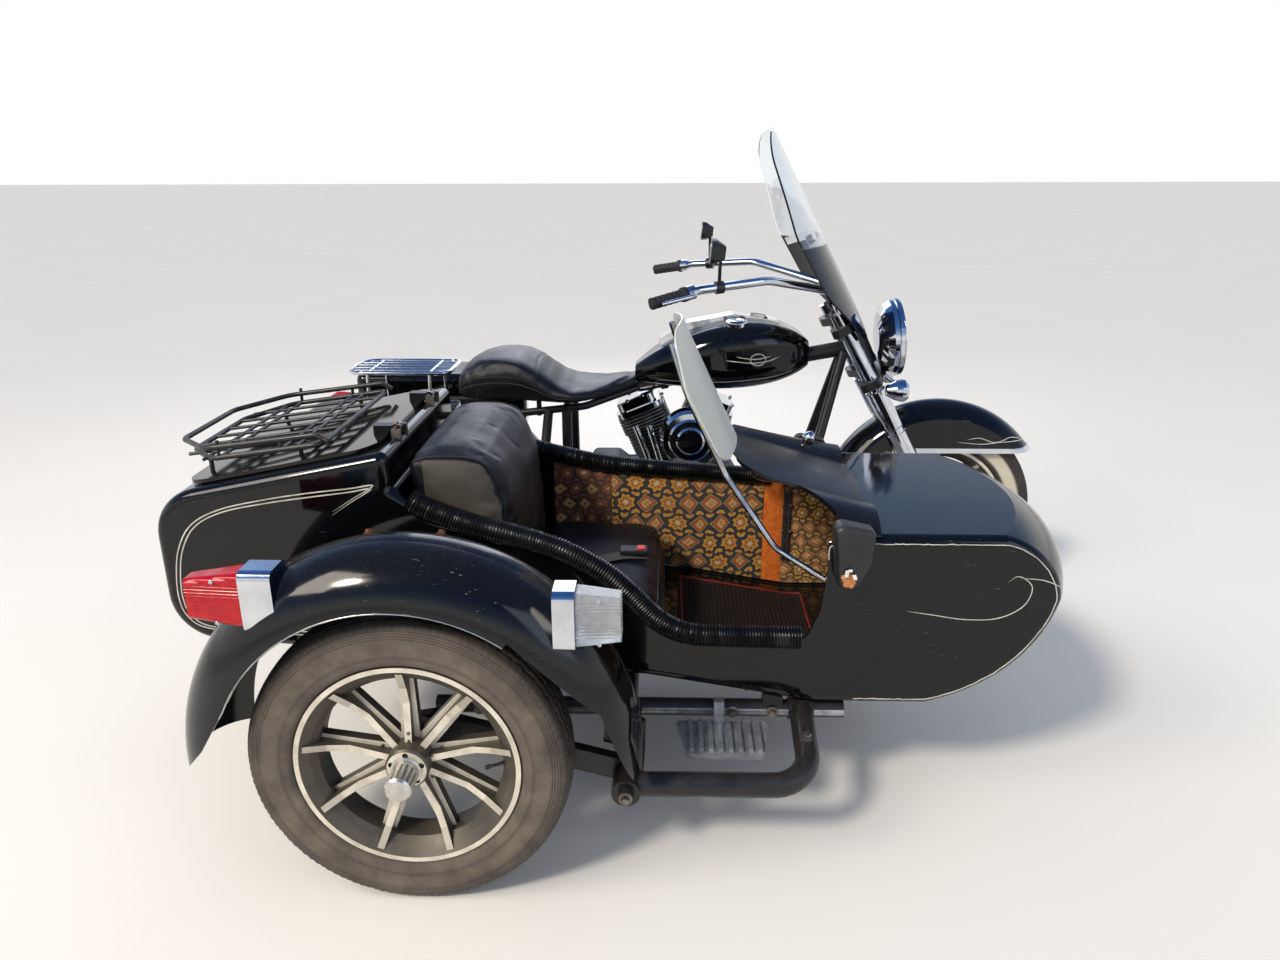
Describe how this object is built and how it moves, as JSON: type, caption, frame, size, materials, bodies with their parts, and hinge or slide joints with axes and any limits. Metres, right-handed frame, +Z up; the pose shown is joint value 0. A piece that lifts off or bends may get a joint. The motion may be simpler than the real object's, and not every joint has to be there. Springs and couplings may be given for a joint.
{
  "type": "motorcycle with sidecar",
  "caption": "Large black touring motorcycle with a tall clear screen and hard saddlebags, and an open one-seat sidecar with a rear boot, its own wheel and a small screen.",
  "frame": {"origin": "bottom centre of the bounding box, on the ground", "axes": "+X forward, +Y to the rider's left, +Z up; the sidecar is on the -Y side"},
  "size_m": [2.3427, 2.005, 1.524],
  "materials": {
    "black_paint": "satin black paint",
    "engine_black": "black engine enamel",
    "chrome": "polished plating",
    "black_gloss": "black gloss paint",
    "black_leather": "black leather",
    "red_lens": "red lens plastic",
    "belt_rubber": "matt",
    "tyre": "dusty black rubber",
    "wheel_enamel": "cream-grey enamel on cast alloy",
    "brake_alloy": "cast",
    "clear_lens": "clear ribbed lens",
    "clear_sheet": "clear plastic sheet",
    "milky_sheet": "clear sheet gone milky",
    "grip_rubber": "matt",
    "chassis_paint": "grey-black paint with rust",
    "lamp_plastic": "black moulding",
    "rack_paint": "black paint",
    "bare_steel": "worn steel",
    "dark_vinyl": "dark vinyl",
    "black_plastic": "black",
    "mat_rubber": "dark red-brown mat",
    "carpet": "patterned carpet",
    "hose_rubber": "corrugated black"
  },
  "bodies": {
    "chassis": {"frame": "black_paint", "crankcase": "engine_black", "cylinders": "engine_black", "rocker_covers": "chrome", "engine_side_covers": "chrome", "air_cleaner": "chrome", "exhausts": "chrome", "fuel_tank": "black_gloss", "tank_console": "chrome", "rider_seat": "black_leather", "rear_fender": "black_gloss", "tail_lamp": "red_lens", "pillion_rack": "chrome", "swingarm": "black_paint", "rear_shocks": "chrome", "drive_belt": "belt_rubber", "footboards": "chrome", "saddlebag_tubs": "black_gloss", "sidecar_chassis": "chassis_paint", "sidecar_suspension": "chassis_paint", "sidecar_fender": "black_gloss", "lamp_housings": "lamp_plastic", "front_marker_lens": "clear_lens", "rear_marker_lens": "red_lens", "sidecar_tub": "black_gloss", "cockpit_cowl": "black_gloss", "boot_hinges": "bare_steel", "seat_cushions": "dark_vinyl", "seat_base": "black_plastic", "floor_mat": "mat_rubber", "carpet_lining": "carpet", "cockpit_hoses": "hose_rubber", "sidecar_screen": "milky_sheet", "sidecar_screen_frame": "black_paint"},
    "steering": {"fork": "chrome", "triple_clamps": "black_paint", "front_fender": "black_gloss", "front_fender_trim": "chrome", "front_brakes": "brake_alloy", "headlamp": "chrome", "headlamp_lens": "clear_lens", "front_indicators": "chrome", "windscreen": "clear_sheet", "windscreen_brace": "chrome", "handlebar": "chrome", "handlebar_grips": "grip_rubber", "handlebar_controls": "chrome", "mirrors": "black_paint"},
    "front_wheel": {"front_tyre": "tyre", "front_wheel": "wheel_enamel"},
    "rear_wheel": {"rear_tyre": "tyre", "rear_wheel": "wheel_enamel"},
    "sidecar_wheel": {"sidecar_tyre": "tyre", "sidecar_wheel": "wheel_enamel"},
    "boot_lid": {"boot_lid": "black_gloss", "luggage_rack": "rack_paint"},
    "saddlebag_lid_right": {"saddlebag_lid_right": "black_gloss"},
    "saddlebag_lid_left": {"saddlebag_lid_left": "black_gloss"}
  },
  "joints": [
    {"name": "steering", "type": "hinge", "parent": "chassis", "child": "steering", "pos_m": [0.58422, 0.553, 0.868], "axis": [-0.4384, 0, 0.8988], "range_deg": [-32, 32]},
    {"name": "front_wheel_spin", "type": "hinge", "parent": "steering", "child": "front_wheel", "pos_m": [0.8515, 0.553, 0.32], "axis": [0, 1, 0], "continuous": true},
    {"name": "rear_wheel_spin", "type": "hinge", "parent": "chassis", "child": "rear_wheel", "pos_m": [-0.7615, 0.553, 0.32], "axis": [0, 1, 0], "continuous": true},
    {"name": "sidecar_wheel_spin", "type": "hinge", "parent": "chassis", "child": "sidecar_wheel", "pos_m": [-0.5415, -0.877, 0.32], "axis": [0, 1, 0], "continuous": true},
    {"name": "boot_lid_hinge", "type": "hinge", "parent": "chassis", "child": "boot_lid", "pos_m": [-0.6355, -0.332, 0.88021], "axis": [0, 1, 0], "range_deg": [0, 60]},
    {"name": "saddlebag_lid_right_hinge", "type": "hinge", "parent": "chassis", "child": "saddlebag_lid_right", "pos_m": [-0.7815, 0.124, 0.6425], "axis": [1, 0, 0], "range_deg": [0, 80]},
    {"name": "saddlebag_lid_left_hinge", "type": "hinge", "parent": "chassis", "child": "saddlebag_lid_left", "pos_m": [-0.7815, 0.982, 0.6425], "axis": [-1, 0, 0], "range_deg": [0, 80]}
  ]
}
